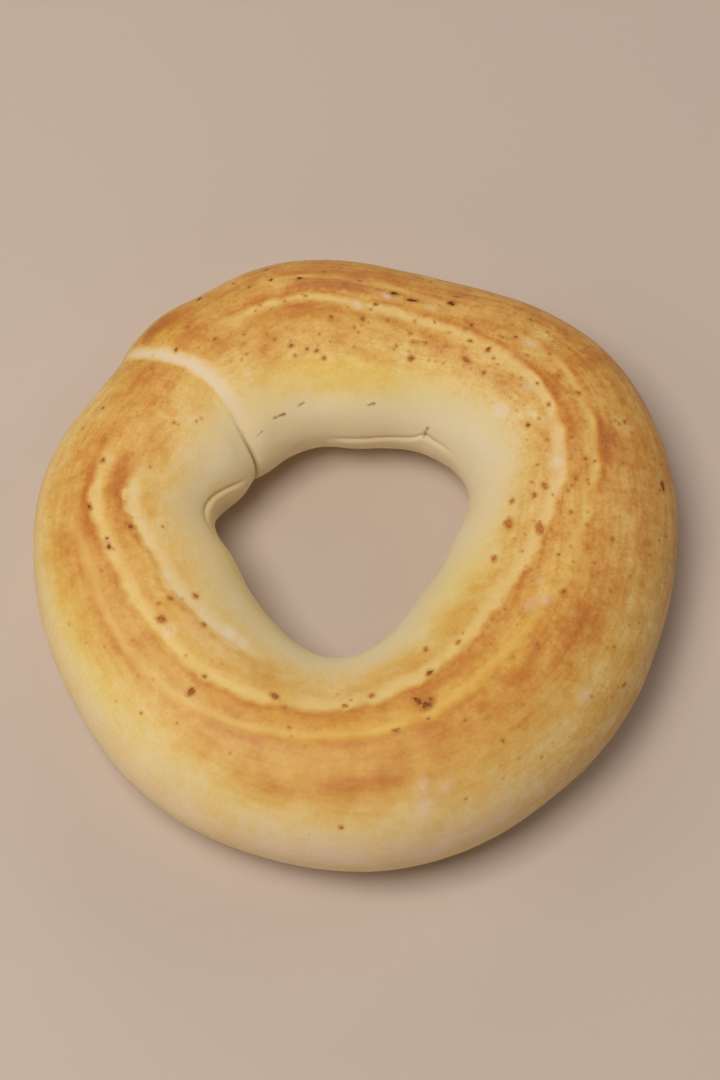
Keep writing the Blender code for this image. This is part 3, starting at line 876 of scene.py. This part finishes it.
# pale pinkish spots and painted highlights
def pinkAndHighlightShare(turn, around, radius, halfWidth):
    total = 0.0
    for atTurn, atAround, size, share in crustZones["blush"]:
        x, y = spotGap(turn, around, radius, halfWidth, atTurn, atAround)
        total = ((x * x + y * y) ** 0.5).rise(size * crustZones["pink and highlight reach"], 0.0) * share + total
    return total


def crackGap(turn, around, radius, halfWidth):
    nearest = None
    for startTurn, startAround, endTurn, endAround, halfBreadth in crustZones["cracks"]:
        x, y = spotGap(turn, around, radius, halfWidth, startTurn, startAround)
        dx = radius * math.radians(endTurn - startTurn)
        dy = halfWidth * math.radians(endAround - startAround)
        share = ((x * dx + y * dy) / (dx * dx + dy * dy)).between(0.0, 1.0)
        x, y = x - dx * share, y - dy * share
        gap = (x * x + y * y) ** 0.5 - halfBreadth
        nearest = nearest.maths("MINIMUM", gap) if nearest else gap
    return nearest


def keepForMaterial(graph, given, sheet, turn, around, skin):
    # what the material needs, kept while the sheet is still flat
    radius, halfWidth = skin.part("radius"), skin.part("half width")
    meanRadius = (ringSizes["hole radius"] + ringSizes["outer radius"]) / 2
    thinner = 1.0 + swells(turn, ringForm["streak thinning"])
    gaps = [streakGap(turn, around, halfWidth, streak) * thinner for streak in streaks.values()]
    shares = [streakShare(turn, streak) for streak in streaks.values()]
    foldShown = sum(runShare(turn, *run, ringForm["fold fade"]) for *run, share, lip in ringForm["folds"])
    fromOutside, fromHole = crustZones["seam shown"]
    places = {
        "place": graph.combine(turn.cosine() * meanRadius, turn.sine() * meanRadius,
                               around * degree * halfWidth),
        "streakGaps": graph.combine(*gaps),
        "streakShares": graph.combine(*shares),
    }
    numbers = {
        "seamGap": seamPast(turn, around, radius, given["seam turn"]),
        "seamShare": around.rise(*fromOutside) * around.rise(*fromHole),
        "creaseShare": around.rise(*crustZones["crease shown"]),
        "foldGap": foldGap(turn, around, halfWidth),
        "foldShare": foldShown,
        "crackGap": crackGap(turn, around, radius, halfWidth),
        "blush": pinkAndHighlightShare(turn, around, radius, halfWidth),
        "brownness": brownness(turn, around),
        "yellow": patchwork(turn, around, crustZones["yellow"]),
        # painted shade towards the hole
        "dimness": swells(turn, crustZones["hole shade turns"]) * around.rise(*crustZones["dim"]),
        "mottle": swells(turn, crustZones["mottle turns"]) * around.rise(*crustZones["mottle"]),
    }
    for name, value in places.items():
        sheet = graph.kept(sheet, name, value, "FLOAT_VECTOR")
    for name, value in numbers.items():
        sheet = graph.kept(sheet, name, value)
    return sheet


def buildBreadRing():
    rows = sum(count for end, count in breadRing["bands"]) + 2 * breadRing["underside rows"]
    graph, given = openTree("breadRing", {"columns": 0, "rows": 0, "underside rows": 0, "bits": "Object",
                                          **ringSizes}, {"bread": "Geometry"})

    # a flat sheet: columns go round the ring and rows round the section, the first and last
    # rows being the underside
    sheet = graph.node("GeometryNodeMeshGrid", {}, {"Size X": 1.0, "Size Y": 1.0,
                                                   "Vertices X": given["columns"] + 1.0,
                                                   "Vertices Y": given["rows"] + 1.0})
    here = graph.split(graph.node("GeometryNodeInputPosition"))
    turn = (here + 0.5) * 360.0
    row = (here.part("Y") + 0.5) * given["rows"]
    under = given["underside rows"]

    around, start, firstRow = breadRing["first around"], breadRing["first around"], 0
    for end, count in breadRing["bands"]:
        around = (row - under - float(firstRow)).between(0.0, float(count)) * ((end - start) / count) + around
        start, firstRow = end, firstRow + count
    skin = skinAt(graph, given, turn, around)
    firstRows, lastRows = under - row, row - given["rows"] + under
    inward = (firstRows.maths("MAXIMUM", 0.0) + lastRows.maths("MAXIMUM", 0.0)) / under
    place = graph.node("ShaderNodeMix", {"data_type": "VECTOR"},
                       {"Factor": inward, "A": skin, "B": skin.part("middle")}).scaled(metresPerMm)

    ring = keepForMaterial(graph, given, sheet, turn, around, skin)
    ring = graph.node("GeometryNodeSetPosition", {}, {"Geometry": ring, "Position": place})
    finishedBits = graph.node("GeometryNodeObjectInfo", {}, {"Object": given["bits"]}, "Geometry")
    spot = graph.node("GeometryNodeInputPosition")
    bitGap = graph.node("GeometryNodeProximity", {"target_element": "FACES"},
                        {"Geometry": finishedBits, "Sample Position": spot}, "Distance")
    ring = graph.kept(ring, "bitGap", bitGap / metresPerMm)
    ring = graph.node("GeometryNodeMergeByDistance", {},
                      {"Geometry": ring, "Distance": breadRing["merged within"] * metresPerMm})
    ring = graph.node("GeometryNodeSetShadeSmooth", {}, {"Geometry": ring})
    ring = graph.node("GeometryNodeRealizeInstances", {}, {"Geometry": ring})
    ring = graph.node("GeometryNodeSetMaterial", {}, {"Geometry": ring, "Material": bakedCrust})
    return grow("bread_ring", closeTree(graph, {"bread": ring}),
                {"columns": breadRing["columns"], "rows": rows, "underside rows": breadRing["underside rows"],
                 "bits": bits, **ringSizes})


bread = buildBreadRing()
print("bread ring grown:", len(bread.data.polygons), "faces")


def centreOf(corners):
    return (corners[0] + corners[1]) * 0.5


def meshBox(piece):
    places = [vertex.co for vertex in piece.data.vertices]
    return (Vector([min(place[axis] for place in places) for axis in range(3)]),
            Vector([max(place[axis] for place in places) for axis in range(3)]))


toFrame = centreOf(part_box("cheese_roll")) - centreOf(meshBox(bread))
toFrame.z = 0.0
for piece in (bread, bits):
    piece.data.transform(Matrix.Translation(toFrame))
    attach(piece, "root")
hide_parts("cheese_roll")
print("moved into the frame by", [round(step / metresPerMm, 2) for step in toFrame], "mm")


floorSettings = {
    "size": 4.0,  # metres
    "colour": (0.60, 0.485, 0.40),
    "roughness": 0.75,
    "drop": 0.0001,  # metres under the roll, so that the two don't touch
}


def buildFloor():
    half = floorSettings["size"] / 2
    level = -floorSettings["drop"]
    mesh = bpy.data.meshes.new("floor")
    mesh.from_pydata([(-half, -half, level), (half, -half, level), (half, half, level), (-half, half, level)],
                     [], [(0, 1, 2, 3)])
    floor = bpy.data.objects.new("floor", mesh)
    bpy.context.scene.collection.objects.link(floor)
    material, graph = newMaterial("paleFloor")
    shader = graph.node("ShaderNodeBsdfPrincipled", {}, {
        "Base Color": opaque(floorSettings["colour"]), "Roughness": floorSettings["roughness"]})
    graph.node("ShaderNodeOutputMaterial", {}, {"Surface": shader})
    mesh.materials.append(material)


lightSettings = {
    # lamps: place, side of the square, watts
    "key": ((-202, -100, 716), 350, 3.66),
    "far": ((0, 820, 380), 400, 1.1),
    "near": ((-150, -780, 340), 500, 0.79),
    "right": ((640, 370, 520), 400, 1.0),
    "left": ((-780, 0, 450), 400, 0.88),
}
lampAim = (0, 0, 10)
warmWhite = (1.0, 0.97, 0.93)
skyStrength = 0.078


def buildLight():
    for name, (place, side, watts) in lightSettings.items():
        lamp = bpy.data.lights.new(name, "AREA")
        lamp.energy = watts
        lamp.size = side * metresPerMm
        lamp.color = warmWhite
        holder = bpy.data.objects.new(name, lamp)
        bpy.context.scene.collection.objects.link(holder)
        holder.location = Vector(place) * metresPerMm
        holder.rotation_euler = (Vector(place) - Vector(lampAim)).to_track_quat("Z", "Y").to_euler()
    world = bpy.data.worlds.new("sky")
    bpy.context.scene.world = world
    world.use_nodes = True
    graph = Graph(world.node_tree)
    sky = graph.node("ShaderNodeBackground", {}, {"Color": opaque(warmWhite), "Strength": skyStrength})
    graph.node("ShaderNodeOutputWorld", {}, {"Surface": sky})


cameraSettings = {  # the camera looks along +Y and down
    "aim": (0.75, 2.87, 11.66),
    "elevation": 66.0,
    "distance": 455.0,
    "lens": 85.0,
    "clip start": 10.0,
}


def buildCamera():
    lens = bpy.data.cameras.new("camera")
    lens.lens = cameraSettings["lens"]
    lens.clip_start = cameraSettings["clip start"] * metresPerMm
    camera = bpy.data.objects.new("camera", lens)
    bpy.context.scene.collection.objects.link(camera)
    up = math.radians(cameraSettings["elevation"])
    back = Vector((0.0, -math.cos(up), math.sin(up)))
    camera.location = (Vector(cameraSettings["aim"]) + back * cameraSettings["distance"]) * metresPerMm
    camera.rotation_euler = back.to_track_quat("Z", "Y").to_euler()
    bpy.context.scene.camera = camera
    bpy.context.scene.view_settings.view_transform = "Standard"


buildFloor()
buildLight()
buildCamera()
print("floor, light and camera set")
